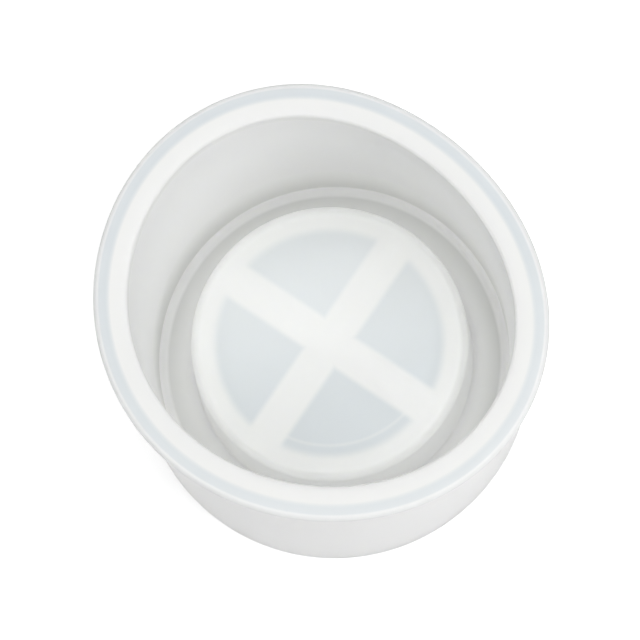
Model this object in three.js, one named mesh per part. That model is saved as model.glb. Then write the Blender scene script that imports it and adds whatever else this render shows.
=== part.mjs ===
// Round silicone casting mould: a straight cup with an overhanging lip, a ring-shaped channel in its
// floor and a raised hollow core, stiffened from below by a cross of ribs.
//
// The real mould is cast in one piece. Each named mesh here is one zone of that casting, and the zones
// meet face to face on level planes, so that every wall, web and membrane has its own solid.
//
// Millimetres, +Z up, origin at the centre of the base. X and Y run along the two arms of the cross.

import * as THREE from 'three';

// ---- Driving dimensions ------------------------------------------------------------------------

const mouldHeight = 80; // base to the top of the lip
const cavityRadius = 38; // inside of the wall, at the lip
const cavityDraft = 0.5; // how much narrower the cavity is at the channel floor
const wallThickness = 4; // at the lip

const lipOverhang = 3; // lip beyond the outside of the wall
const lipThickness = 2.4;
const lipEdgeRadius = 1;
const mouthRadius = 0.6; // rounding of the inner edge of the lip
const lipOval = 1.9; // how far the soft lip has relaxed, out along X and in along Y

const floorThickness = 7; // under the ring-shaped channel
const floorFilletRadius = 1.8; // where the channel floor turns up to the wall
const floorFilletSweep = 55; // degrees; it stops short of upright, so the wall starts at a crease
const baseEdgeRadius = 1;

const coreRadius = 29.2; // at the top of the core
const coreRise = 23.5; // above the channel floor
const coreDraft = 0.4; // how much wider the core is at its foot
const coreEdgeRadius = 1.8;
const coreWallThickness = 4;
const membraneThickness = 2.4; // the roof of the four pockets
const pocketDraft = 0.6; // how much wider the pockets are at the base

const ribWidth = 6;
const ribFit = 0.3; // clearance between a rib's end and the round pocket wall

const stepsAround = 64; // facets of every round surface
const stepsPerRounding = 3; // facets of a small rounded edge
const wallSteps = 6; // stages of the wall's height, which lets it follow the oval

// ---- Derived dimensions ------------------------------------------------------------------------

const wallOuterRadius = cavityRadius + wallThickness;
const lipRadius = wallOuterRadius + lipOverhang;
const lipUnderside = mouldHeight - lipThickness;

const channelOuterRadius = cavityRadius - cavityDraft;
const filletSweep = THREE.MathUtils.degToRad(floorFilletSweep);
const filletRun = floorFilletRadius * Math.sin(filletSweep);
const filletRise = floorFilletRadius * (1 - Math.cos(filletSweep));
const creaseHeight = floorThickness + filletRise;

const coreTop = floorThickness + coreRise;
const membraneUnderside = coreTop - membraneThickness;
const coreFootRadius = coreRadius + coreDraft;
const pocketRadius = coreRadius - coreWallThickness;
const pocketMouthRadius = pocketRadius + pocketDraft;

// ---- Shape helpers -----------------------------------------------------------------------------

/** A point of a turned outline: distance from the axis and height. */
function at(radius, height) {
  return new THREE.Vector2(radius, height);
}

/** Points along an arc of an outline. Angles are in degrees, from outwards towards up. */
function arc(centreRadius, centreHeight, arcRadius, startAngle, endAngle) {
  return Array.from({ length: stepsPerRounding + 1 }, (_, step) => {
    const turn = THREE.MathUtils.lerp(startAngle, endAngle, step / stepsPerRounding);
    const angle = THREE.MathUtils.degToRad(turn);
    return at(centreRadius + arcRadius * Math.cos(angle), centreHeight + arcRadius * Math.sin(angle));
  });
}

/** Turns an outline about the Z axis. The outline runs anticlockwise, outwards being to the right. */
function turned(outline) {
  const geometry = new THREE.LatheGeometry(outline, stepsAround);
  return geometry.rotateX(Math.PI / 2);
}

/** Turns a closed outline, such as a ring's section. */
function turnedRing(outline) {
  return turned([...outline, outline[0].clone()]);
}

/** Radius of the cavity wall at a height, between the crease over the channel and the lip. */
function cavityRadiusAt(height) {
  const share = (height - creaseHeight) / (mouldHeight - creaseHeight);
  return THREE.MathUtils.lerp(channelOuterRadius, cavityRadius, share);
}

/** Moves a turned wall to the oval that it relaxes to, from nothing at the crease to full at the lip. */
function relaxed(geometry) {
  const places = geometry.attributes.position;
  for (let index = 0; index < places.count; index += 1) {
    const x = places.getX(index);
    const y = places.getY(index);
    const radius = Math.hypot(x, y);
    const share = (places.getZ(index) - creaseHeight) / (mouldHeight - creaseHeight);
    const spread = lipOval * share ** 2 * Math.cos(2 * Math.atan2(y, x));
    places.setXY(index, (x * (radius + spread)) / radius, (y * (radius + spread)) / radius);
  }
  return geometry;
}

/** One zone of the casting. */
function zone(name, geometry, colour, roughness) {
  const material = new THREE.MeshStandardMaterial({ color: colour, roughness, metalness: 0 });
  const mesh = new THREE.Mesh(geometry, material);
  mesh.name = name;
  return mesh;
}

// ---- The cup -----------------------------------------------------------------------------------

/** The top ring: the end of the wall with the flat lip that overhangs it. */
function lipFlange() {
  const outline = [
    at(cavityRadiusAt(lipUnderside), lipUnderside),
    ...arc(lipRadius - lipEdgeRadius, lipUnderside + lipEdgeRadius, lipEdgeRadius, -90, 0),
    ...arc(lipRadius - lipEdgeRadius, mouldHeight - lipEdgeRadius, lipEdgeRadius, 0, 90),
    ...arc(cavityRadius + mouthRadius, mouldHeight - mouthRadius, mouthRadius, 90, 180),
  ];
  return zone('lip_flange', relaxed(turnedRing(outline)), 0xf0f2f1, 0.42);
}

/** The upright wall, from the crease over the channel to the underside of the lip. */
function sideWall() {
  const heights = Array.from({ length: wallSteps + 1 }, (_, step) =>
    THREE.MathUtils.lerp(creaseHeight, lipUnderside, step / wallSteps));
  const outside = heights.map((height) => at(wallOuterRadius, height));
  const inside = heights.map((height) => at(cavityRadiusAt(height), height)).reverse();
  return zone('side_wall', relaxed(turnedRing([...outside, ...inside])), 0xe4e6e4, 0.5);
}

/** The base ring: the channel's floor, with its fillet, down to the face that the mould stands on. */
function channelFloor() {
  const outline = [
    at(pocketMouthRadius, 0),
    ...arc(wallOuterRadius - baseEdgeRadius, baseEdgeRadius, baseEdgeRadius, -90, 0),
    at(wallOuterRadius, creaseHeight),
    ...arc(channelOuterRadius - filletRun, floorThickness + floorFilletRadius, floorFilletRadius,
      floorFilletSweep - 90, -90),
    at(pocketRadius, floorThickness),
  ];
  return zone('channel_floor', turnedRing(outline), 0xd6d9d7, 0.5);
}

// ---- The core ----------------------------------------------------------------------------------

/** The round wall of the hollow core, standing on the channel floor. */
function coreWall() {
  const outline = [
    at(pocketRadius, floorThickness),
    at(coreFootRadius, floorThickness),
    at(coreRadius, membraneUnderside),
    at(pocketRadius, membraneUnderside),
  ];
  return zone('core_wall', turnedRing(outline), 0xe8eae9, 0.5);
}

/** The thin roof of the core, which shows the ribs and pockets under it. */
function coreMembrane() {
  const outline = [
    at(0, membraneUnderside),
    at(pocketRadius, membraneUnderside),
    at(coreRadius, membraneUnderside),
    ...arc(coreRadius - coreEdgeRadius, coreTop - coreEdgeRadius, coreEdgeRadius, 0, 90),
    at(0, coreTop),
  ];
  return zone('core_membrane', turned(outline), 0xe2e7eb, 0.45);
}

/** The square post where the ribs cross. */
function ribHub() {
  const geometry = new THREE.BoxGeometry(ribWidth, ribWidth, membraneUnderside);
  geometry.translate(0, 0, membraneUnderside / 2);
  return zone('rib_hub', geometry, 0xf1f3f2, 0.5);
}

/** One arm of the cross, from the hub to the pocket wall, turned to its quarter. */
function ribArm(name, quarter) {
  const halfWidth = ribWidth / 2;
  const facetMiddle = pocketRadius * Math.cos(Math.PI / stepsAround);
  const armEnd = Math.sqrt(facetMiddle ** 2 - halfWidth ** 2) - ribFit;
  const geometry = new THREE.BoxGeometry(armEnd - halfWidth, ribWidth, membraneUnderside);
  geometry.translate((armEnd + halfWidth) / 2, 0, membraneUnderside / 2);
  const arm = zone(name, geometry, 0xf1f3f2, 0.5);
  arm.rotation.z = quarter * (Math.PI / 2);
  return arm;
}

// ---- Assembly ----------------------------------------------------------------------------------

const mould = new THREE.Group();
mould.add(lipFlange(), sideWall(), channelFloor(), coreWall(), coreMembrane(), ribHub());
['rib_right', 'rib_back', 'rib_left', 'rib_front'].forEach((name, quarter) => {
  mould.add(ribArm(name, quarter));
});

export default mould;
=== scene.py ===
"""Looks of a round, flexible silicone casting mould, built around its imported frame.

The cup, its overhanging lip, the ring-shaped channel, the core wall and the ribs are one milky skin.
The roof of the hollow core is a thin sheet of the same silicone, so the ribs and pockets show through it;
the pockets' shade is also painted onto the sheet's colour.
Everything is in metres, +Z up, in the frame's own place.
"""

import logging
import math
from dataclasses import dataclass
from enum import Enum
from typing import Callable

import bmesh
import bpy
from mathutils import Matrix, Vector
from mathutils.geometry import tessellate_polygon


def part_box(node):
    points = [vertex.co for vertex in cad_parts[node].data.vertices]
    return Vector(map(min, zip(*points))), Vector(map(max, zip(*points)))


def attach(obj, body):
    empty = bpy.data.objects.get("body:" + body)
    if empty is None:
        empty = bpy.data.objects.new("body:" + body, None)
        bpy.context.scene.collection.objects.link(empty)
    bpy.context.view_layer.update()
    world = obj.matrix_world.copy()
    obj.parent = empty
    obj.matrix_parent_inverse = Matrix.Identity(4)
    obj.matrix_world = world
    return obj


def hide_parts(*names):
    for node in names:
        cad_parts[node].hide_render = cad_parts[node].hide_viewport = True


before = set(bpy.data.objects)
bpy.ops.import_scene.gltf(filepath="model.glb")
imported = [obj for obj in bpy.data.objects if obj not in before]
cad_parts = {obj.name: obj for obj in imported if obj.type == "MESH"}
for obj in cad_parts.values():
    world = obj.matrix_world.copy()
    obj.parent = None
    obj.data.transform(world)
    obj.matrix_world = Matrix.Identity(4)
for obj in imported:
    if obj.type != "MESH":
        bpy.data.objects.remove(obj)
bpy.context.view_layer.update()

MM = 0.001
QUARTERS = 4
STEPS_AROUND = 320
ROUND_STEPS = 8
FOOT_STEPS = 6
EDGE_STEPS = 14
WELD_DISTANCE = 0.002 * MM
LEAST_EDGE = 0.001 * MM
SHARP_ANGLE = 28
OVAL_WAVES = 2.0
LOBE_WAVES = 3.0
UNEVEN_SCALE = 24.0
CLOUD_SCALE = 38.0
GRAIN_SCALE = 2600.0
GRAIN_SHARE = 0.35
FLOW_SCALE = 160.0
WHITE = (1.0, 1.0, 1.0, 1.0)
LOG = logging.getLogger("mould")


class Slot(Enum):
    """Finish slots of the record; no piece here is given one."""

    SILICONE = "silicone"


class Attribute(Enum):
    """Values that the meshes carry for their finishes."""

    THIN = "thin"
    SEEP = "seep"
    SHADE = "shade"


# ---- Sizes ----


@dataclass(frozen=True)
class MouldSizes:
    """Main sizes of the mould, taken from the boxes of the frame's nodes."""

    lip_top: float
    lip_underside: float
    lip_radius: float
    lip_oval: float
    wall_radius: float
    crease_height: float
    floor_level: float
    core_foot_radius: float
    core_radius: float
    core_top: float
    sheet_underside: float
    half_rib: float
    wall: float = 4 * MM
    cavity_draft: float = 0.5 * MM
    pocket_draft: float = 0.6 * MM

    @classmethod
    def from_frame(cls) -> "MouldSizes":
        """Reads the sizes off the frame.

        Returns:
            The sizes, in metres.
        """
        lip_low, lip_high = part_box("lip_flange")
        _, base_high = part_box("channel_floor")
        core_low, core_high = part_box("core_wall")
        _, sheet_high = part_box("core_membrane")
        _, hub_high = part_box("rib_hub")
        return cls(
            lip_top=lip_high[2],
            lip_underside=lip_low[2],
            lip_radius=(lip_high[0] + lip_high[1]) / 2,
            lip_oval=(lip_high[0] - lip_high[1]) / 2,
            wall_radius=base_high[0],
            crease_height=base_high[2],
            floor_level=core_low[2],
            core_foot_radius=core_high[0],
            core_radius=sheet_high[0],
            core_top=sheet_high[2],
            sheet_underside=core_high[2],
            half_rib=hub_high[0],
        )

    @property
    def cavity_radius(self) -> float:
        """Inside of the wall at the lip.

        Returns:
            The radius, in metres.
        """
        return self.wall_radius - self.wall

    @property
    def crease_radius(self) -> float:
        """Inside of the wall at the crease over the channel.

        Returns:
            The radius, in metres.
        """
        return self.cavity_radius - self.cavity_draft

    @property
    def pocket_radius(self) -> float:
        """Inside of the core wall, under the sheet.

        Returns:
            The radius, in metres.
        """
        return self.core_radius - self.wall


# ---- Outlines ----


@dataclass(frozen=True)
class OutlinePoint:
    """One point of a turned outline: its place, thinness, painted glow and painted shade."""

    radius: float
    height: float
    thin: float = 0.0
    seep: float = 0.0
    shade: float = 0.0


def arc(
    centre: tuple[float, float],
    radius: float,
    start: float,
    end: float,
    steps: int,
    thin: tuple[float, float] = (0.0, 0.0),
    seep: tuple[float, float] = (0.0, 0.0),
    shade: float = 0.0,
) -> list[OutlinePoint]:
    """Points along an arc of an outline.

    Args:
        centre: Distance from the axis and height of the arc's centre.
        radius: Radius of the arc.
        start: First angle in degrees, from outwards towards up.
        end: Last angle in degrees.
        steps: How many pieces the arc is divided into.
        thin: Thinness at the first and the last point.
        seep: Strength of the painted glow at the first and the last point, an emission that stands in for
            light coming through the silicone.
        shade: Painted shade, how much darker the colour is made, all along the arc.

    Returns:
        The points, both ends included.
    """
    points = []
    for step in range(steps + 1):
        share = step / steps
        angle = math.radians(start + (end - start) * share)
        points.append(
            OutlinePoint(
                centre[0] + radius * math.cos(angle),
                centre[1] + radius * math.sin(angle),
                thin[0] + (thin[1] - thin[0]) * share,
                seep[0] + (seep[1] - seep[0]) * share,
                shade,
            )
        )
    return points


def line(start: OutlinePoint, end: OutlinePoint, steps: int) -> list[OutlinePoint]:
    """Points along a straight stretch of an outline.

    Args:
        start: Where the stretch starts; this point is left out.
        end: Where it ends; this point is left out too.
        steps: How many pieces the stretch is divided into.

    Returns:
        The points between the two ends.
    """
    points = []
    for step in range(1, steps):
        share = step / steps
        points.append(
            OutlinePoint(
                start.radius + (end.radius - start.radius) * share,
                start.height + (end.height - start.height) * share,
                start.thin + (end.thin - start.thin) * share,
                start.seep + (end.seep - start.seep) * share,
                start.shade + (end.shade - start.shade) * share,
            )
        )
    return points


def outline_object(name: str, points: list[OutlinePoint]) -> bpy.types.Object:
    """Makes a chain of edges that a turning modifier reads.

    Args:
        name: Name of the new object.
        points: The outline, in order.

    Returns:
        The new object, with the thinness, the painted glow and the painted shade as point attributes.
    """
    mesh = bpy.data.meshes.new(name)
    places = [(point.radius, 0.0, point.height) for point in points]
    mesh.from_pydata(places, [(i, i + 1) for i in range(len(points) - 1)], [])
    for attribute in Attribute:
        values = [getattr(point, attribute.value) for point in points]
        mesh.attributes.new(attribute.value, "FLOAT", "POINT").data.foreach_set("value", values)
    made = bpy.data.objects.new(name, mesh)
    bpy.context.scene.collection.objects.link(made)
    return made


# ---- Node wiring ----


class Wiring:
    """Adds nodes to a tree and joins them, so that a tree reads as a list of steps."""

    def __init__(self, tree: bpy.types.NodeTree) -> None:
        """Starts wiring a tree.

        Args:
            tree: The tree that the nodes go into.
        """
        self.tree = tree

    def feed(self, socket: bpy.types.NodeSocket, source: object) -> None:
        """Joins or sets one input.

        Args:
            socket: The input.
            source: An output to join, or a plain value; None leaves the input as it is.
        """
        if source is None:
            return
        if isinstance(source, bpy.types.NodeSocket):
            self.tree.links.new(source, socket)
        else:
            socket.default_value = source

    def node(self, kind: str, inputs: dict | None = None, **settings: object) -> bpy.types.Node:
        """Adds one node.

        Args:
            kind: Blender's type name of the node.
            inputs: Value or output for each input, by name or place.
            settings: The node's own properties.

        Returns:
            The new node.
        """
        made = self.tree.nodes.new(kind)
        for key, value in settings.items():
            setattr(made, key, value)
        for key, source in (inputs or {}).items():
            self.feed(made.inputs[key], source)
        return made

    def maths(self, operation: str, *sources: object, clamp: bool = False) -> bpy.types.NodeSocket:
        """Adds one sum.

        Args:
            operation: Name of the sum, such as MULTIPLY.
            sources: Its terms.
            clamp: Whether the result is held between 0 and 1.

        Returns:
            The result.
        """
        made = self.node(
            "ShaderNodeMath", dict(enumerate(sources)), operation=operation, use_clamp=clamp
        )
        return made.outputs[0]

    def ramp(self, value: object, low: float, high: float) -> bpy.types.NodeSocket:
        """Adds a smooth step.

        Args:
            value: What is measured.
            low: Where the result leaves 0; it may be above high for a falling step.
            high: Where the result reaches 1.

        Returns:
            The result, from 0 to 1.
        """
        made = self.node(
            "ShaderNodeMapRange",
            {"Value": value, "From Min": low, "From Max": high},
            interpolation_type="SMOOTHSTEP",
        )
        return made.outputs[0]


def add_sockets(tree: bpy.types.NodeTree, direction: str, sockets: dict[str, str]) -> None:
    """Gives a tree its named inputs or outputs.

    Args:
        tree: The tree.
        direction: INPUT or OUTPUT.
        sockets: Name and type of each socket.
    """
    for name, kind in sockets.items():
        tree.interface.new_socket(name, in_out=direction, socket_type=kind)


# ---- Turning tree ----


def turning_tree() -> bpy.types.NodeTree:
    """Builds the tree that turns an outline into a casting.

    It spins the outline about the Z axis, sets the quarter piece round it, welds them, and lets the soft
    wall relax to its oval and its slight unevenness.

    Returns:
        The tree, with named inputs.
    """
    tree = bpy.data.node_groups.new("turned_casting", "GeometryNodeTree")
    add_sockets(
        tree,
        "INPUT",
        {
            "Outline": "NodeSocketGeometry",
            "Steps Around": "NodeSocketInt",
            "Quarter": "NodeSocketObject",
            "Quarters": "NodeSocketInt",
            "Weld Distance": "NodeSocketFloat",
            "Oval": "NodeSocketFloat",
            "Oval Start": "NodeSocketFloat",
            "Oval Full": "NodeSocketFloat",
            "Firm Radius": "NodeSocketFloat",
            "Lobe": "NodeSocketFloat",
            "Lobe Turn": "NodeSocketFloat",
            "Unevenness": "NodeSocketFloat",
            "Seed": "NodeSocketFloat",
            "Finish": "NodeSocketMaterial",
        },
    )
    add_sockets(tree, "OUTPUT", {"Casting": "NodeSocketGeometry"})
    wiring = Wiring(tree)
    given = wiring.node("NodeGroupInput").outputs

    count = wiring.node(
        "GeometryNodeAttributeDomainSize", {"Geometry": given["Outline"]}, component="MESH"
    ).outputs["Point Count"]
    columns = wiring.maths("ADD", given["Steps Around"], 1)
    grid = wiring.node(
        "GeometryNodeMeshGrid", {"Vertices X": columns, "Vertices Y": count}
    ).outputs["Mesh"]
    index = wiring.node("GeometryNodeInputIndex").outputs[0]
    column = wiring.maths("FLOOR", wiring.maths("DIVIDE", wiring.maths("ADD", index, 0.5), count))
    row = wiring.maths("SUBTRACT", index, wiring.maths("MULTIPLY", column, count))
    place = wiring.node("GeometryNodeInputPosition").outputs[0]
    found = wiring.node(
        "GeometryNodeSampleIndex",
        {"Geometry": given["Outline"], "Value": place, "Index": row},
        data_type="FLOAT_VECTOR",
    ).outputs[0]
    part = wiring.node("ShaderNodeSeparateXYZ", {0: found}).outputs
    turn = wiring.maths("DIVIDE", wiring.maths("MULTIPLY", column, 2 * math.pi), given["Steps Around"])
    turned = wiring.node(
        "ShaderNodeCombineXYZ",
        {
            "X": wiring.maths("MULTIPLY", part["X"], wiring.maths("COSINE", turn)),
            "Y": wiring.maths("MULTIPLY", part["X"], wiring.maths("SINE", turn)),
            "Z": part["Z"],
        },
    ).outputs[0]
    stored = grid
    for attribute in Attribute:
        drawn = wiring.node("GeometryNodeInputNamedAttribute", {"Name": attribute.value}).outputs[0]
        value = wiring.node(
            "GeometryNodeSampleIndex",
            {"Geometry": given["Outline"], "Value": drawn, "Index": row},
            data_type="FLOAT",
        ).outputs[0]
        stored = wiring.node(
            "GeometryNodeStoreNamedAttribute",
            {"Geometry": stored, "Name": attribute.value, "Value": value},
            data_type="FLOAT",
            domain="POINT",
        ).outputs[0]
    spun = wiring.node("GeometryNodeSetPosition", {"Geometry": stored, "Position": turned}).outputs[0]

    points = wiring.node("GeometryNodePoints", {"Count": given["Quarters"]}).outputs[0]
    quarter = wiring.node("GeometryNodeObjectInfo", {"Object": given["Quarter"]}).outputs["Geometry"]
    spacing = wiring.maths("DIVIDE", 2 * math.pi, given["Quarters"])
    facing = wiring.node("ShaderNodeCombineXYZ", {"Z": wiring.maths("MULTIPLY", index, spacing)})
    placed = wiring.node(
        "GeometryNodeInstanceOnPoints",
        {"Points": points, "Instance": quarter, "Rotation": facing.outputs[0]},
    ).outputs[0]
    ring = wiring.node("GeometryNodeRealizeInstances", {0: placed}).outputs[0]
    join = wiring.node("GeometryNodeJoinGeometry")
    for piece in (spun, ring):
        tree.links.new(piece, join.inputs[0])
    welded = wiring.node(
        "GeometryNodeMergeByDistance",
        {"Geometry": join.outputs[0], "Distance": given["Weld Distance"]},
    ).outputs[0]

    here = wiring.node("ShaderNodeSeparateXYZ", {0: place}).outputs
    radius = wiring.maths(
        "SQRT",
        wiring.maths(
            "ADD",
            wiring.maths("MULTIPLY", here["X"], here["X"]),
            wiring.maths("MULTIPLY", here["Y"], here["Y"]),
        ),
    )
    soft = wiring.maths("GREATER_THAN", radius, given["Firm Radius"])
    rise = wiring.node(
        "ShaderNodeMapRange",
        {"Value": here["Z"], "From Min": given["Oval Start"], "From Max": given["Oval Full"]},
    ).outputs[0]
    share = wiring.maths("MULTIPLY", wiring.maths("MULTIPLY", rise, rise), soft)
    angle = wiring.maths("ARCTAN2", here["Y"], here["X"])
    lobes = wiring.maths("COSINE", wiring.maths("MULTIPLY", angle, OVAL_WAVES))
    wave = wiring.node(
        "ShaderNodeTexNoise",
        {"Vector": place, "W": given["Seed"], "Scale": UNEVEN_SCALE, "Detail": 1.0},
        noise_dimensions="4D",
    ).outputs[0]
    sway = wiring.maths(
        "MULTIPLY", wiring.maths("SUBTRACT", wave, 0.5), given["Unevenness"]
    )
    turned_by = wiring.maths("MULTIPLY", wiring.maths("SUBTRACT", angle, given["Lobe Turn"]), LOBE_WAVES)
    egg = wiring.maths("MULTIPLY_ADD", wiring.maths("COSINE", turned_by), given["Lobe"], sway)
    spread = wiring.maths("MULTIPLY", wiring.maths("MULTIPLY_ADD", lobes, given["Oval"], egg), share)
    shift = wiring.node(
        "ShaderNodeCombineXYZ",
        {
            "X": wiring.maths("MULTIPLY", spread, wiring.maths("COSINE", angle)),
            "Y": wiring.maths("MULTIPLY", spread, wiring.maths("SINE", angle)),
        },
    ).outputs[0]
    relaxed = wiring.node("GeometryNodeSetPosition", {"Geometry": welded, "Offset": shift}).outputs[0]
    smooth = wiring.node("GeometryNodeSetShadeSmooth", {"Geometry": relaxed}).outputs[0]
    solid = wiring.node("GeometryNodeRealizeInstances", {0: smooth}).outputs[0]
    dressed = wiring.node(
        "GeometryNodeSetMaterial", {"Geometry": solid, "Material": given["Finish"]}
    ).outputs[0]
    wiring.node("NodeGroupOutput", {"Casting": dressed})
    return tree


def set_inputs(modifier: bpy.types.NodesModifier, values: dict[str, object]) -> None:
    """Sets a modifier's inputs by their sockets' identifiers.

    Args:
        modifier: The modifier.
        values: A value for each named input.
    """
    for item in modifier.node_group.interface.items_tree:
        if item.item_type == "SOCKET" and item.in_out == "INPUT" and item.name in values:
            modifier[item.identifier] = values[item.name]


@dataclass(frozen=True)
class Relaxing:
    """How far a turned piece of soft silicone strays from round."""

    oval: float = 0.0
    start: float = 0.0
    full: float = 1.0
    firm_radius: float = 1.0
    lobe: float = 0.0
    lobe_turn: float = 0.0
    unevenness: float = 0.0
    seed: float = 4.0


def turn_outline(
    name: str,
    points: list[OutlinePoint],
    finish: bpy.types.Material,
    relaxing: Relaxing,
    quarter: bpy.types.Object | None = None,
) -> bpy.types.Object:
    """Turns an outline with the turning tree and keeps the result as a plain mesh.

    Args:
        name: Name of the finished piece.
        points: The outline, in order.
        finish: Material of the piece.
        relaxing: Its oval and unevenness.
        quarter: A piece that is set round the axis and welded to it, if there is one.

    Returns:
        The piece, closed, with its faces outwards.
    """
    tree = bpy.data.node_groups.get("turned_casting") or turning_tree()
    draft = outline_object(name + "_outline", points)
    modifier = draft.modifiers.new("turn", "NODES")
    modifier.node_group = tree
    set_inputs(
        modifier,
        {
            "Steps Around": STEPS_AROUND,
            "Quarter": quarter,
            "Quarters": QUARTERS if quarter else 0,
            "Weld Distance": WELD_DISTANCE,
            "Oval": relaxing.oval,
            "Oval Start": relaxing.start,
            "Oval Full": relaxing.full,
            "Firm Radius": relaxing.firm_radius,
            "Lobe": relaxing.lobe,
            "Lobe Turn": math.radians(relaxing.lobe_turn),
            "Unevenness": relaxing.unevenness,
            "Seed": relaxing.seed,
            "Finish": finish,
        },
    )
    evaluated = draft.evaluated_get(bpy.context.evaluated_depsgraph_get())
    mesh = bpy.data.meshes.new_from_object(evaluated)
    draft.modifiers.remove(modifier)
    bpy.data.objects.remove(draft)
    mesh.name = name
    face_outwards(mesh)
    made = bpy.data.objects.new(name, mesh)
    bpy.context.scene.collection.objects.link(made)
    made.modifiers.new("even_normals", "WEIGHTED_NORMAL").keep_sharp = True
    return made


def face_outwards(mesh: bpy.types.Mesh) -> None:
    """Turns every face of a closed mesh outwards and keeps its creases sharp.

    Args:
        mesh: The mesh, welded.
    """
    shape = bmesh.new()
    shape.from_mesh(mesh)
    bmesh.ops.dissolve_degenerate(shape, dist=LEAST_EDGE, edges=shape.edges)
    bmesh.ops.recalc_face_normals(shape, faces=shape.faces)
    open_edges = sum(1 for edge in shape.edges if len(edge.link_faces) != 2)
    LOG.info("%s: %d faces, %d open edges", mesh.name, len(shape.faces), open_edges)
    shape.to_mesh(mesh)
    shape.free()
    mesh.set_sharp_from_angle(angle=math.radians(SHARP_ANGLE))


# ---- The cup, core and ribs ----


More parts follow.
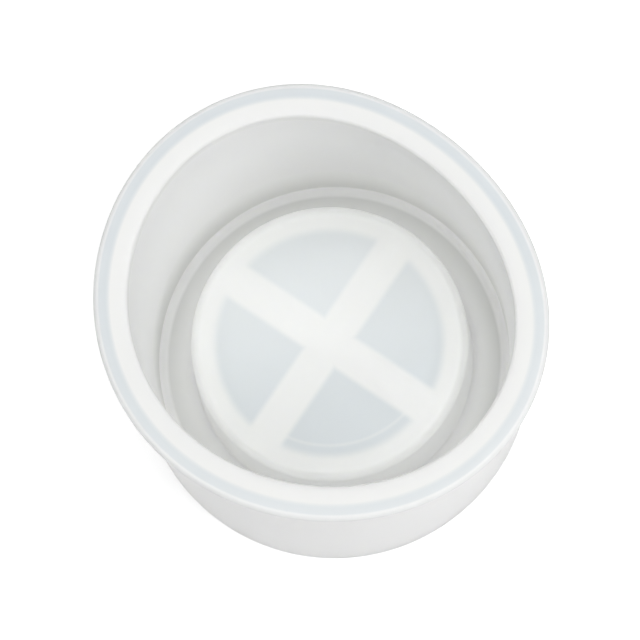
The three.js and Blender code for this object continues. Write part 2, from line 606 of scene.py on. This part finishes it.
@dataclass
class Casting:
    """The milky skin of the cup, its lip, channel, core wall and ribs."""

    sizes: MouldSizes
    base_edge: float = 1.0 * MM
    lip_edge: float = 0.9 * MM
    lip_root: float = 0.8 * MM
    mouth_edge: float = 0.6 * MM
    floor_fillet: float = 1.8 * MM
    floor_fillet_sweep: float = 55.0
    core_foot_fillet: float = 0.6 * MM
    rib_top_fillet: float = 0.5 * MM
    pocket_fillet: float = 2.8 * MM
    pocket_corner: float = 1.0 * MM
    hub_corner: float = 0.5 * MM
    pocket_edge: float = 0.5 * MM
    # Thinness values of the lip; they set the blue-grey tint, which is painted shade of what lies behind
    # the thin silicone.
    thin_root: float = 0.6
    thin_edge: float = 0.2
    thin_shoulder: float = 0.35
    thin_ring: tuple[tuple[float, float], ...] = ((0.5 * MM, 1.0), (0.1 * MM, 0.75), (-0.5 * MM, 0.0))
    ring_start: tuple[float, float] = (0.35 * MM, 0.95)
    lobe: float = 0.6 * MM
    lobe_turn: float = 14.0
    unevenness: float = 0.3 * MM
    # Painted shade: the colour is made darker on the lip's flat top, its edges and its mouth, and towards
    # the crease and on the channel's outer floor.
    lip_shade: float = 0.2
    edge_shade: float = 0.17
    mouth_shade: float = 0.17
    wall_fade: float = 4.0 * MM
    # Painted glow: emission in the silicone's colour, standing in for light that comes through it, on the
    # inner wall, the channel's fillet, the core's foot and the core wall.
    high_wall_painted_glow: float = 1.7
    cavity_middle: float = 34.0 * MM
    wall_painted_glow: float = 1.0
    shaded_wall: float = 18.0 * MM
    crease_shade: float = 0.18
    fillet_painted_glow: float = 1.6
    foot_painted_glow: float = 2.0
    core_painted_glow: float = 4.2
    outer_wall_steps: int = 40
    underside_steps: int = 5
    inner_wall_steps: int = 12
    floor_steps: int = 4
    core_wall_steps: int = 16
    rib_steps: int = 12
    corner_steps: int = 6
    pocket_steps: int = 48
    wall_levels: int = 10
    edge_levels: int = 5
    rib_top_levels: int = 4
    least_rise: float = 0.004 * MM

    def outline(self) -> list[OutlinePoint]:
        """Draws the skin from the base edge over the lip and down to the core's rim.

        Returns:
            The outline, from the flat base outwards.
        """
        return self.outer_outline() + self.lip_outline() + self.inner_outline()

    def outer_outline(self) -> list[OutlinePoint]:
        """Draws the base edge, the outer wall and the root of the lip.

        Returns:
            The points, upwards.
        """
        s = self.sizes
        centre = s.wall_radius - self.base_edge
        points = arc((centre, self.base_edge), self.base_edge, -90, 0, ROUND_STEPS)
        root = (s.wall_radius + self.lip_root, s.lip_underside - self.lip_root)
        wall_end = OutlinePoint(s.wall_radius, root[1])
        points += line(points[-1], wall_end, self.outer_wall_steps)
        points += arc(root, self.lip_root, 180, 90, ROUND_STEPS, (0.0, self.thin_root))
        return points

    def lip_outline(self) -> list[OutlinePoint]:
        """Draws the lip: its underside, edge, flat top and the rounded mouth.

        Returns:
            The points, outwards and then inwards.
        """
        s = self.sizes
        root_end = OutlinePoint(s.wall_radius + self.lip_root, s.lip_underside, self.thin_root)
        edge_radius = s.lip_radius - self.lip_edge
        low_centre = (edge_radius, s.lip_underside + self.lip_edge)
        low_thin = (1.0, self.thin_edge)
        # Painted shade on the lip's edges, flat top and mouth; the mouth also starts the inner wall's
        # painted glow.
        lip_low = arc(low_centre, self.lip_edge, -90, 0, ROUND_STEPS, low_thin, shade=self.edge_shade)
        points = line(root_end, lip_low[0], self.underside_steps) + lip_low
        high_centre = (edge_radius, s.lip_top - self.lip_edge)
        high_thin = (self.thin_edge, self.thin_shoulder)
        points += arc(high_centre, self.lip_edge, 0, 90, ROUND_STEPS, high_thin, shade=self.edge_shade)
        inset, thin = self.ring_start
        top = [(edge_radius - inset, thin)]
        top += [(s.wall_radius + reach, thin) for reach, thin in self.thin_ring]
        points += [OutlinePoint(radius, s.lip_top, thin, 0.0, self.lip_shade) for radius, thin in top]
        mouth = (s.cavity_radius + self.mouth_edge, s.lip_top - self.mouth_edge)
        mouth_painted_glow = (0.0, self.wall_painted_glow)
        points += arc(mouth, self.mouth_edge, 90, 180, ROUND_STEPS, seep=mouth_painted_glow, shade=self.mouth_shade)
        return points

    def inner_outline(self) -> list[OutlinePoint]:
        """Draws the inner wall, the channel's fillet and floor, and the core wall.

        Returns:
            The points, downwards and then up to the core's rim.
        """
        s = self.sizes
        wall_height = s.lip_top - s.crease_height
        # Each level is a depth, a painted glow and a painted shade: the wall glows most near its top and is
        # painted darker towards the crease.
        levels = (
            (self.wall_fade, self.high_wall_painted_glow, 0.0),
            (self.cavity_middle, self.wall_painted_glow, 0.0),
            (wall_height - self.shaded_wall, self.wall_painted_glow, 0.0),
            (wall_height, 0.0, self.crease_shade),
        )
        before = OutlinePoint(
            s.cavity_radius, s.lip_top - self.mouth_edge, 0.0, self.wall_painted_glow, self.mouth_shade
        )
        points = []
        for depth, seep, shade in levels:
            radius = s.cavity_radius - s.cavity_draft * depth / wall_height
            passed = OutlinePoint(radius, s.lip_top - depth, 0.0, seep, shade)
            points += line(before, passed, self.inner_wall_steps)
            points.append(passed)
            before = passed
        points.pop()
        fillet_run = self.floor_fillet * math.sin(math.radians(self.floor_fillet_sweep))
        fillet = (s.crease_radius - fillet_run, s.floor_level + self.floor_fillet)
        fillet_start = self.floor_fillet_sweep - 90
        fillet_painted_glow = (self.fillet_painted_glow, 0.0)
        points += arc(fillet, self.floor_fillet, fillet_start, -90, ROUND_STEPS, seep=fillet_painted_glow)
        floor_edge = fillet[0] - self.core_foot_fillet
        # The channel's outer floor carries painted shade.
        points.append(OutlinePoint(floor_edge, s.floor_level, 0.0, 0.0, self.crease_shade))
        foot = (s.core_foot_radius + self.core_foot_fillet, s.floor_level + self.core_foot_fillet)
        foot_painted_glow = (self.foot_painted_glow, self.core_painted_glow)
        core_foot = arc(foot, self.core_foot_fillet, -90, -180, FOOT_STEPS, seep=foot_painted_glow)
        points += line(points[-1], core_foot[0], self.floor_steps)
        points += core_foot
        core_rim = OutlinePoint(s.core_radius, s.sheet_underside, 0.0, self.core_painted_glow)
        points += line(points[-1], core_rim, self.core_wall_steps)
        points.append(core_rim)
        return points

    def pocket_loop(self, height: float) -> list[Vector]:
        """Draws the inside of one pocket at a height.

        Args:
            height: Height above the base.

        Returns:
            The closed loop, anticlockwise from above, always with as many points.
        """
        s = self.sizes
        rise = height / s.sheet_underside
        flare_low = self.flare(self.pocket_edge - height, self.pocket_edge)
        outer = s.pocket_radius + s.pocket_draft * (1 - rise) + flare_low
        outer -= self.flare(height - s.sheet_underside + self.pocket_fillet, self.pocket_fillet)
        side = s.half_rib - flare_low
        side += self.flare(height - s.sheet_underside + self.rib_top_fillet, self.rib_top_fillet)
        corner = self.pocket_corner
        reach = math.sqrt((outer - corner) ** 2 - (side + corner) ** 2)
        meet = math.atan2(side + corner, reach)
        inner = side + self.hub_corner
        gap = (reach - inner) / self.rib_steps
        points = [Vector((inner + gap * step, side, height)) for step in range(self.rib_steps)]
        for step in range(self.corner_steps):
            angle = -math.pi / 2 + (meet + math.pi / 2) * step / self.corner_steps
            points.append(self.around(reach, side + corner, corner, angle, height))
        half = points[1:]
        for step in range(self.pocket_steps + 1):
            angle = meet + (math.pi / 2 - 2 * meet) * step / self.pocket_steps
            points.append(self.around(0.0, 0.0, outer, angle, height))
        points += [Vector((point.y, point.x, point.z)) for point in reversed(half)]
        points.append(Vector((side, inner, height)))
        for step in range(1, self.corner_steps):
            angle = math.pi + math.pi / 2 * step / self.corner_steps
            points.append(self.around(inner, inner, self.hub_corner, angle, height))
        return points

    @staticmethod
    def around(x: float, y: float, radius: float, angle: float, height: float) -> Vector:
        """Gives a point on a level circle.

        Args:
            x: The circle's centre along X.
            y: The circle's centre along Y.
            radius: Radius of the circle.
            angle: Angle of the point, in radians from +X.
            height: Height of the circle.

        Returns:
            The point.
        """
        return Vector((x + radius * math.cos(angle), y + radius * math.sin(angle), height))

    @staticmethod
    def flare(depth: float, radius: float) -> float:
        """How far a quarter-round edge has turned away at a depth into it.

        Args:
            depth: Depth into the rounded edge, 0 or less outside it.
            radius: Radius of the edge.

        Returns:
            The distance from the straight wall.
        """
        if depth <= 0:
            return 0.0
        return radius - math.sqrt(max(radius**2 - depth**2, 0.0))

    def quarter_heights(self) -> list[float]:
        """Lists the levels of a pocket's wall, close together where it is rounded.

        Returns:
            The heights, upwards.
        """
        s = self.sizes
        quarter_turn = math.pi / 2
        edge = range(self.edge_levels + 1)
        low = [self.pocket_edge * (1 - math.cos(quarter_turn * step / self.edge_levels)) for step in edge]
        fillet_start = s.sheet_underside - self.pocket_fillet
        rise = (fillet_start - low[-1]) / self.wall_levels
        middle = [low[-1] + rise * step for step in range(1, self.wall_levels)]
        high = self.rounded_levels(self.pocket_fillet, EDGE_STEPS)
        fine = self.rounded_levels(self.rib_top_fillet, self.rib_top_levels)
        levels = sorted(low + middle + high + fine)
        kept = [levels[0]]
        for level in levels[1:]:
            if level - kept[-1] > self.least_rise:
                kept.append(level)
        kept[-1] = s.sheet_underside
        return kept

    def rounded_levels(self, radius: float, steps: int) -> list[float]:
        """Lists the levels of a rounded corner that ends at the sheet.

        Args:
            radius: Radius of the corner.
            steps: How many pieces the corner is divided into.

        Returns:
            The heights, upwards.
        """
        start = self.sizes.sheet_underside - radius
        return [start + radius * math.sin(math.pi / 2 * step / steps) for step in range(steps + 1)]

    def quarter(self) -> bpy.types.Object:
        """Builds a quarter of the underside: its share of the base, one pocket, and the ribs' tops.

        Returns:
            The open piece between two rib centre lines.
        """
        s = self.sizes
        shape = bmesh.new()
        loops = [
            [shape.verts.new(point) for point in self.pocket_loop(height)]
            for height in self.quarter_heights()
        ]
        for below, above in zip(loops, loops[1:]):
            for here in range(len(below)):
                after = (here + 1) % len(below)
                shape.faces.new((below[here], below[after], above[after], above[here]))
        rims = (
            (loops[0], s.wall_radius - self.base_edge, 0.0),
            (loops[-1], s.core_radius, s.sheet_underside),
        )
        for loop, radius, height in rims:
            border = [Vector((0.0, 0.0, height))]
            steps = STEPS_AROUND // QUARTERS
            for step in range(steps + 1):
                angle = 2 * math.pi * step / STEPS_AROUND
                border.append(Vector((radius * math.cos(angle), radius * math.sin(angle), height)))
            rim = [shape.verts.new(point) for point in border]
            corners = rim + loop
            for face in tessellate_polygon([border, [vertex.co.copy() for vertex in loop]]):
                shape.faces.new([corners[index] for index in face])
        mesh = bpy.data.meshes.new("quarter")
        shape.to_mesh(mesh)
        shape.free()
        made = bpy.data.objects.new("quarter", mesh)
        bpy.context.scene.collection.objects.link(made)
        return made

    def build(self, finish: bpy.types.Material) -> bpy.types.Object:
        """Makes the skin and puts it in the place of its nodes.

        Args:
            finish: The silicone.

        Returns:
            The finished piece.
        """
        s = self.sizes
        quarter = self.quarter()
        relaxing = Relaxing(
            oval=s.lip_oval,
            start=s.crease_height,
            full=s.lip_top,
            firm_radius=(s.core_foot_radius + s.crease_radius) / 2,
            lobe=self.lobe,
            lobe_turn=self.lobe_turn,
            unevenness=self.unevenness,
        )
        made = turn_outline("casting", self.outline(), finish, relaxing, quarter)
        bpy.data.objects.remove(quarter)
        return made

    def dress(self, piece: bpy.types.Object) -> None:
        """Puts the skin under its body and hides the frame's nodes that it stands for.

        Args:
            piece: The skin.
        """
        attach(piece, "root")
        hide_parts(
            "lip_flange",
            "side_wall",
            "channel_floor",
            "core_wall",
            "rib_hub",
            "rib_right",
            "rib_back",
            "rib_left",
            "rib_front",
        )


@dataclass
class CoreSheet:
    """The thin roof of the core, with its rounded edge."""

    sizes: MouldSizes
    edge: float = 1.8 * MM
    seat_gap: float = 0.01 * MM
    # Painted glow on the sheet's side, rounded edge and top: emission standing in for light that comes
    # through the silicone.
    side_painted_glow: float = 6.0
    edge_painted_glow: float = 1.3
    top_painted_glow: float = 1.0
    flat_steps: int = 24

    def outline(self) -> list[OutlinePoint]:
        """Draws the sheet from the middle of its underside to the middle of its top.

        Returns:
            The points.
        """
        s = self.sizes
        under = s.sheet_underside + self.seat_gap
        centre = s.core_radius - self.edge
        middle = OutlinePoint(0.0, under)
        rim = OutlinePoint(s.core_radius, under)
        points = [middle]
        points += line(middle, rim, self.flat_steps)
        points.append(rim)
        corner = (centre, s.core_top - self.edge)
        corner_painted_glow = (self.side_painted_glow, self.edge_painted_glow)
        points += arc(corner, self.edge, 0, 90, EDGE_STEPS, seep=corner_painted_glow)
        points.append(OutlinePoint(centre - self.edge / 2, s.core_top, 0.0, self.top_painted_glow))
        top = OutlinePoint(0.0, s.core_top, 0.0, self.top_painted_glow)
        points += line(points[-1], top, self.flat_steps)
        points.append(top)
        return points

    def build(self, finish: bpy.types.Material) -> bpy.types.Object:
        """Makes the sheet.

        Args:
            finish: The thin silicone.

        Returns:
            The finished piece.
        """
        return turn_outline("core_sheet", self.outline(), finish, Relaxing())

    def dress(self, piece: bpy.types.Object) -> None:
        """Puts the sheet under its body and hides the frame's node that it stands for.

        Args:
            piece: The sheet.
        """
        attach(piece, "root")
        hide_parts("core_membrane")


# ---- Finishes ----


def milk_group() -> bpy.types.NodeTree:
    """Builds the cloudiness shared by every silicone finish: paler and greyer drifts in the colour.

    Returns:
        The group.
    """
    tree = bpy.data.node_groups.new("milk_clouds", "ShaderNodeTree")
    given_sockets = {
        "Place": "NodeSocketVector",
        "Colour": "NodeSocketColor",
        "Strength": "NodeSocketFloat",
    }
    add_sockets(tree, "INPUT", given_sockets)
    add_sockets(tree, "OUTPUT", {"Colour": "NodeSocketColor"})
    wiring = Wiring(tree)
    given = wiring.node("NodeGroupInput").outputs
    drift = wiring.node(
        "ShaderNodeTexNoise",
        {"Vector": given["Place"], "Scale": CLOUD_SCALE, "Detail": 3.0, "Roughness": 0.5},
    ).outputs[0]
    change = wiring.maths("MULTIPLY", wiring.maths("SUBTRACT", drift, 0.5), given["Strength"])
    bright = wiring.maths("ADD", change, 1.0)
    mixed = wiring.node(
        "ShaderNodeVectorMath", {0: given["Colour"], "Scale": bright}, operation="SCALE"
    ).outputs[0]
    wiring.node("NodeGroupOutput", {"Colour": mixed})
    return tree


def grain_group() -> bpy.types.NodeTree:
    """Builds the fine surface shared by every silicone finish: satin grain and flow marks.

    Returns:
        The group.
    """
    tree = bpy.data.node_groups.new("satin_grain", "ShaderNodeTree")
    add_sockets(tree, "INPUT", {"Place": "NodeSocketVector"})
    add_sockets(tree, "OUTPUT", {"Height": "NodeSocketFloat", "Dull": "NodeSocketFloat"})
    wiring = Wiring(tree)
    given = wiring.node("NodeGroupInput").outputs
    fine = wiring.node(
        "ShaderNodeTexNoise", {"Vector": given["Place"], "Scale": GRAIN_SCALE, "Detail": 2.0}
    ).outputs[0]
    flow = wiring.node(
        "ShaderNodeTexNoise", {"Vector": given["Place"], "Scale": FLOW_SCALE, "Detail": 2.0}
    ).outputs[0]
    height = wiring.maths("ADD", wiring.maths("MULTIPLY", fine, GRAIN_SHARE), flow)
    wiring.node("NodeGroupOutput", {"Height": height, "Dull": flow})
    return tree


def shared_group(name: str, build: Callable[[], bpy.types.NodeTree]) -> bpy.types.NodeTree:
    """Finds a shader group, or builds it the first time.

    Args:
        name: Name of the group.
        build: The function that builds it.

    Returns:
        The group.
    """
    return bpy.data.node_groups.get(name) or build()


@dataclass(frozen=True)
class Silicone:
    """Milky casting silicone."""

    name: str
    thick_colour: tuple[float, float, float, float] = (0.967, 0.972, 0.96, 1.0)
    # Painted shade: the thin colour is the darker, bluer look of thin silicone over what lies behind it.
    thin_colour: tuple[float, float, float, float] = (0.765, 0.81, 0.838, 1.0)
    cloudiness: float = 0.04
    subsurface: float = 1.0
    scatter: tuple[float, float, float] = (1.0, 1.0, 0.95)
    scatter_depth: float = 6.0 * MM
    clear: float = 0.0
    roughness: tuple[float, float] = (0.42, 0.5)
    # Painted side fade: the thin tint is lighter towards the front, along X minus Y.
    thin_front: float = 0.8
    fade_start: float = -22.5 * MM
    fade_end: float = 63.0 * MM
    grain_strength: float = 0.25
    grain_depth: float = 0.05 * MM
    refraction: float = 1.41
    # Strength of the painted glow, an emission standing in for light that comes through the silicone.
    seep: float = 0.032

    def mask(self, wiring: Wiring, place: bpy.types.NodeSocket) -> bpy.types.NodeSocket:
        """Says where the silicone is thin, with the painted side fade towards the front.

        Args:
            wiring: The material's wiring.
            place: Object coordinates.

        Returns:
            A mask, 1 where it is thinnest.
        """
        drawn = wiring.node("ShaderNodeAttribute", attribute_name=Attribute.THIN.value).outputs["Fac"]
        part = wiring.node("ShaderNodeSeparateXYZ", {0: place}).outputs
        across = wiring.maths("SUBTRACT", part["X"], part["Y"])
        painted_side_fade = wiring.ramp(across, self.fade_start, self.fade_end)
        fading = wiring.maths("MULTIPLY_ADD", painted_side_fade, self.thin_front - 1.0, 1.0)
        return wiring.maths("MULTIPLY", drawn, fading)

    def material(self) -> bpy.types.Material:
        """Builds the material.

        Returns:
            The finished material.
        """
        made = bpy.data.materials.new(self.name)
        made.use_nodes = True
        tree = made.node_tree
        tree.nodes.clear()
        wiring = Wiring(tree)
        place = wiring.node("ShaderNodeTexCoord").outputs["Object"]
        tint = wiring.node(
            "ShaderNodeMix",
            {"Factor": self.mask(wiring, place), 6: self.thick_colour, 7: self.thin_colour},
            data_type="RGBA",
        ).outputs[2]
        # Painted shade: the shade attribute darkens the colour.
        painted_shade_drawn = wiring.node("ShaderNodeAttribute", attribute_name=Attribute.SHADE.value).outputs["Fac"]
        shade = wiring.maths("SUBTRACT", 1.0, painted_shade_drawn)
        toned = wiring.node("ShaderNodeVectorMath", {0: tint, "Scale": shade}, operation="SCALE").outputs[0]
        clouds = wiring.node("ShaderNodeGroup", node_tree=shared_group("milk_clouds", milk_group))
        wiring.feed(clouds.inputs["Place"], place)
        wiring.feed(clouds.inputs["Colour"], toned)
        wiring.feed(clouds.inputs["Strength"], self.cloudiness)
        grain = wiring.node("ShaderNodeGroup", node_tree=shared_group("satin_grain", grain_group))
        wiring.feed(grain.inputs["Place"], place)
        rough = wiring.node(
            "ShaderNodeMapRange",
            {"Value": grain.outputs["Dull"], "To Min": self.roughness[0], "To Max": self.roughness[1]},
        ).outputs[0]
        bump = wiring.node(
            "ShaderNodeBump",
            {
                "Height": grain.outputs["Height"],
                "Strength": self.grain_strength,
                "Distance": self.grain_depth,
            },
        ).outputs[0]
        # Painted glow: emission in the silicone's own colour, standing in for light that comes through it.
        painted_glow_drawn = wiring.node("ShaderNodeAttribute", attribute_name=Attribute.SEEP.value).outputs["Fac"]
        painted_glow_colour = wiring.node(
            "ShaderNodeVectorMath", {0: clouds.outputs["Colour"], "Scale": painted_glow_drawn}, operation="SCALE"
        ).outputs[0]
        shader = wiring.node(
            "ShaderNodeBsdfPrincipled",
            {
                "Base Color": clouds.outputs["Colour"],
                "Emission Color": painted_glow_colour,
                "Emission Strength": self.seep,
                "Roughness": rough,
                "Normal": bump,
                "IOR": self.refraction,
                "Subsurface Weight": self.subsurface,
                "Subsurface Radius": self.scatter,
                "Subsurface Scale": self.scatter_depth,
                "Transmission Weight": self.clear,
            },
            subsurface_method="RANDOM_WALK",
        ).outputs[0]
        wiring.node("ShaderNodeOutputMaterial", {"Surface": shader})
        return made


@dataclass(frozen=True)
class SheetSilicone(Silicone):
    """The same silicone as a thin sheet over ribs and pockets."""

    half_rib: float = 3.0 * MM
    pocket_radius: float = 25.0 * MM
    softness: float = 1.6 * MM
    rim_softness: float = 2.4 * MM
    # Painted side fade: the pocket tint is lighter towards the back.
    slope: float = 0.3
    # Painted highlight: a lighter arc over the front pocket.
    highlight_radius: float = 21.8 * MM
    highlight_width: float = 0.6 * MM
    highlight_strength: float = 0.35

    def mask(self, wiring: Wiring, place: bpy.types.NodeSocket) -> bpy.types.NodeSocket:
        """Says where the pocket tint, painted shade of a pocket seen through the sheet, lies.

        Args:
            wiring: The material's wiring.
            place: Object coordinates.

        Returns:
            A mask, 1 over the middle of a pocket.
        """
        part = wiring.node("ShaderNodeSeparateXYZ", {0: place}).outputs
        from_rib = wiring.maths(
            "MINIMUM", wiring.maths("ABSOLUTE", part["X"]), wiring.maths("ABSOLUTE", part["Y"])
        )
        flat = wiring.node("ShaderNodeCombineXYZ", {"X": part["X"], "Y": part["Y"]}).outputs[0]
        radius = wiring.node("ShaderNodeVectorMath", {0: flat}, operation="LENGTH").outputs["Value"]
        beside = wiring.ramp(from_rib, self.half_rib, self.half_rib + self.softness)
        inside = wiring.ramp(radius, self.pocket_radius, self.pocket_radius - self.rim_softness)
        # Painted highlight: the pocket tint is taken out along an arc in the front pocket.
        off_highlight = wiring.maths("ABSOLUTE", wiring.maths("SUBTRACT", radius, self.highlight_radius))
        on_highlight = wiring.ramp(off_highlight, self.highlight_width, 0.0)
        across = wiring.maths("SUBTRACT", part["X"], part["Y"])
        front = wiring.ramp(across, self.highlight_radius, self.pocket_radius)
        painted_highlight = wiring.maths("MULTIPLY", wiring.maths("MULTIPLY", on_highlight, front), self.highlight_strength)
        painted_side_fade = wiring.ramp(across, self.pocket_radius, -self.pocket_radius)
        drift = wiring.maths("MULTIPLY_ADD", painted_side_fade, -self.slope, 1.0)
        pocket = wiring.maths("MULTIPLY", wiring.maths("MULTIPLY", beside, inside), drift)
        return wiring.maths("MULTIPLY", pocket, wiring.maths("SUBTRACT", 1.0, painted_highlight))


# ---- Studio ----


@dataclass(frozen=True)
class Lamp:
    """A soft rectangular lamp, aimed at the mould."""

    name: str
    azimuth: float
    elevation: float
    distance: float
    size: float
    power: float
    colour: tuple[float, float, float] = (1.0, 1.0, 1.0)

    def place(self, target: Vector) -> None:
        """Adds the lamp.

        Args:
            target: What it shines at.
        """
        data = bpy.data.lights.new(self.name, "AREA")
        data.shape = "DISK"
        data.size = self.size
        data.energy = self.power
        data.color = self.colour
        lamp = bpy.data.objects.new(self.name, data)
        way = direction(self.azimuth, self.elevation)
        lamp.location = target + way * self.distance
        lamp.rotation_euler = way.to_track_quat("Z", "Y").to_euler()
        bpy.context.scene.collection.objects.link(lamp)


def direction(azimuth: float, elevation: float) -> Vector:
    """Gives the way from the mould to a viewer.

    Args:
        azimuth: Degrees round from the front, towards +X.
        elevation: Degrees above level.

    Returns:
        A vector of length 1.
    """
    turn, lift = math.radians(azimuth), math.radians(elevation)
    return Vector((math.sin(turn) * math.cos(lift), -math.cos(turn) * math.cos(lift), math.sin(lift)))


@dataclass(frozen=True)
class Viewpoint:
    """The camera: high over the mould, a little to its front right, and slightly rolled."""

    azimuth: float = 49.53
    elevation: float = 80.17
    roll: float = -15.53
    distance: float = 1.05
    lens: float = 283.8
    sensor: float = 36.0
    target: Vector = Vector((-0.0031, 0.0018, 0.04))

    def place(self) -> None:
        """Adds the camera and makes it the scene's own."""
        data = bpy.data.cameras.new("viewpoint")
        data.lens = self.lens
        data.sensor_width = self.sensor
        data.clip_start = 0.05
        camera = bpy.data.objects.new("viewpoint", data)
        way = direction(self.azimuth, self.elevation)
        turn = way.to_track_quat("Z", "Y").to_matrix().to_4x4()
        roll = Matrix.Rotation(math.radians(self.roll), 4, "Z")
        camera.matrix_world = Matrix.Translation(self.target + way * self.distance) @ turn @ roll
        bpy.context.scene.collection.objects.link(camera)
        bpy.context.scene.camera = camera


@dataclass(frozen=True)
class Studio:
    """A white floor in a white room, with soft lamps."""

    floor_radius: float = 4.0
    room_light: float = 0.1
    floor_glow: float = 0.4

    @staticmethod
    def looked_at(wiring: Wiring) -> bpy.types.NodeSocket:
        """Picks out what is seen directly, in a reflection or through something clear.

        Args:
            wiring: The wiring of a backdrop's material.

        Returns:
            A mask, 1 for those rays and 0 for the rays that light the mould.
        """
        path = wiring.node("ShaderNodeLightPath").outputs
        mirrored = wiring.maths("ADD", path["Is Camera Ray"], path["Is Glossy Ray"])
        return wiring.maths("ADD", mirrored, path["Is Transmission Ray"], clamp=True)

    def floor(self) -> None:
        """Adds the floor, which is white to the camera but keeps the mould's shadow."""
        shape = bmesh.new()
        bmesh.ops.create_circle(shape, cap_ends=True, radius=self.floor_radius, segments=128)
        mesh = bpy.data.meshes.new("floor")
        shape.to_mesh(mesh)
        shape.free()
        floor = bpy.data.objects.new("floor", mesh)
        bpy.context.scene.collection.objects.link(floor)
        made = bpy.data.materials.new("floor_paper")
        made.use_nodes = True
        made.node_tree.nodes.clear()
        wiring = Wiring(made.node_tree)
        shader = wiring.node(
            "ShaderNodeBsdfPrincipled",
            {
                "Base Color": (0.86, 0.86, 0.86, 1.0),
                "Roughness": 0.9,
                "Specular IOR Level": 0.1,
                "Emission Color": WHITE,
                "Emission Strength": wiring.maths("MULTIPLY", self.looked_at(wiring), self.floor_glow),
            },
        ).outputs[0]
        wiring.node("ShaderNodeOutputMaterial", {"Surface": shader})
        mesh.materials.append(made)

    def room(self) -> None:
        """Makes the room round the floor even and white."""
        world = bpy.data.worlds.new("room")
        world.use_nodes = True
        world.node_tree.nodes.clear()
        wiring = Wiring(world.node_tree)
        light = wiring.node("ShaderNodeBackground", {"Color": WHITE, "Strength": self.room_light})
        seen = wiring.node("ShaderNodeBackground", {"Color": WHITE, "Strength": 1.0})
        mix = wiring.node(
            "ShaderNodeMixShader", {0: self.looked_at(wiring), 1: light.outputs[0], 2: seen.outputs[0]}
        ).outputs[0]
        wiring.node("ShaderNodeOutputWorld", {"Surface": mix})
        bpy.context.scene.world = world

    def lamps(self, target: Vector) -> None:
        """Adds the lamps.

        Args:
            target: The middle of the mould.
        """
        Lamp("overhead_lamp", azimuth=90, elevation=85, distance=1.6, size=0.9, power=7.5).place(target)
        Lamp("side_lamp", azimuth=100, elevation=44, distance=1.6, size=1.0, power=7.6).place(target)
        Lamp("back_lamp", azimuth=215, elevation=68, distance=1.6, size=0.8, power=6.2).place(target)
        Lamp("left_lamp", azimuth=304, elevation=60, distance=1.6, size=0.8, power=3.8).place(target)
        Lamp("front_lamp", azimuth=34, elevation=60, distance=1.6, size=0.7, power=2.8).place(target)
        Lamp("low_lamp", azimuth=50, elevation=16, distance=1.6, size=0.8, power=2.2).place(target)

    def build(self, target: Vector) -> None:
        """Sets up the room, the floor and the lamps.

        Args:
            target: The middle of the mould.
        """
        bpy.context.scene.view_settings.view_transform = "Standard"
        self.room()
        self.floor()
        self.lamps(target)


# ---- Everything ----


def main() -> None:
    """Builds the mould, the studio and the camera."""
    logging.basicConfig(level=logging.INFO, format="%(name)s: %(message)s")
    sizes = MouldSizes.from_frame()
    silicone = Silicone(name="milky_silicone").material()
    thin_silicone = SheetSilicone(
        name="thin_silicone",
        # The sheet's colours are darker than the cup's: painted shade on the core's top.
        thick_colour=(0.912, 0.922, 0.907, 1.0),
        thin_colour=(0.74, 0.78, 0.80, 1.0),
        half_rib=sizes.half_rib,
        pocket_radius=sizes.pocket_radius,
        clear=0.33,
        roughness=(0.28, 0.34),
        scatter_depth=2.5 * MM,
    ).material()
    parts = ((Casting(sizes), silicone), (CoreSheet(sizes), thin_silicone))
    for part, finish in parts:
        piece = part.build(finish)
        part.dress(piece)
        LOG.info("%s: %d faces", piece.name, len(piece.data.polygons))
    Studio().build(Vector((0.0, 0.0, sizes.lip_top / 2)))
    Viewpoint().place()


if __name__ == "__main__":
    main()
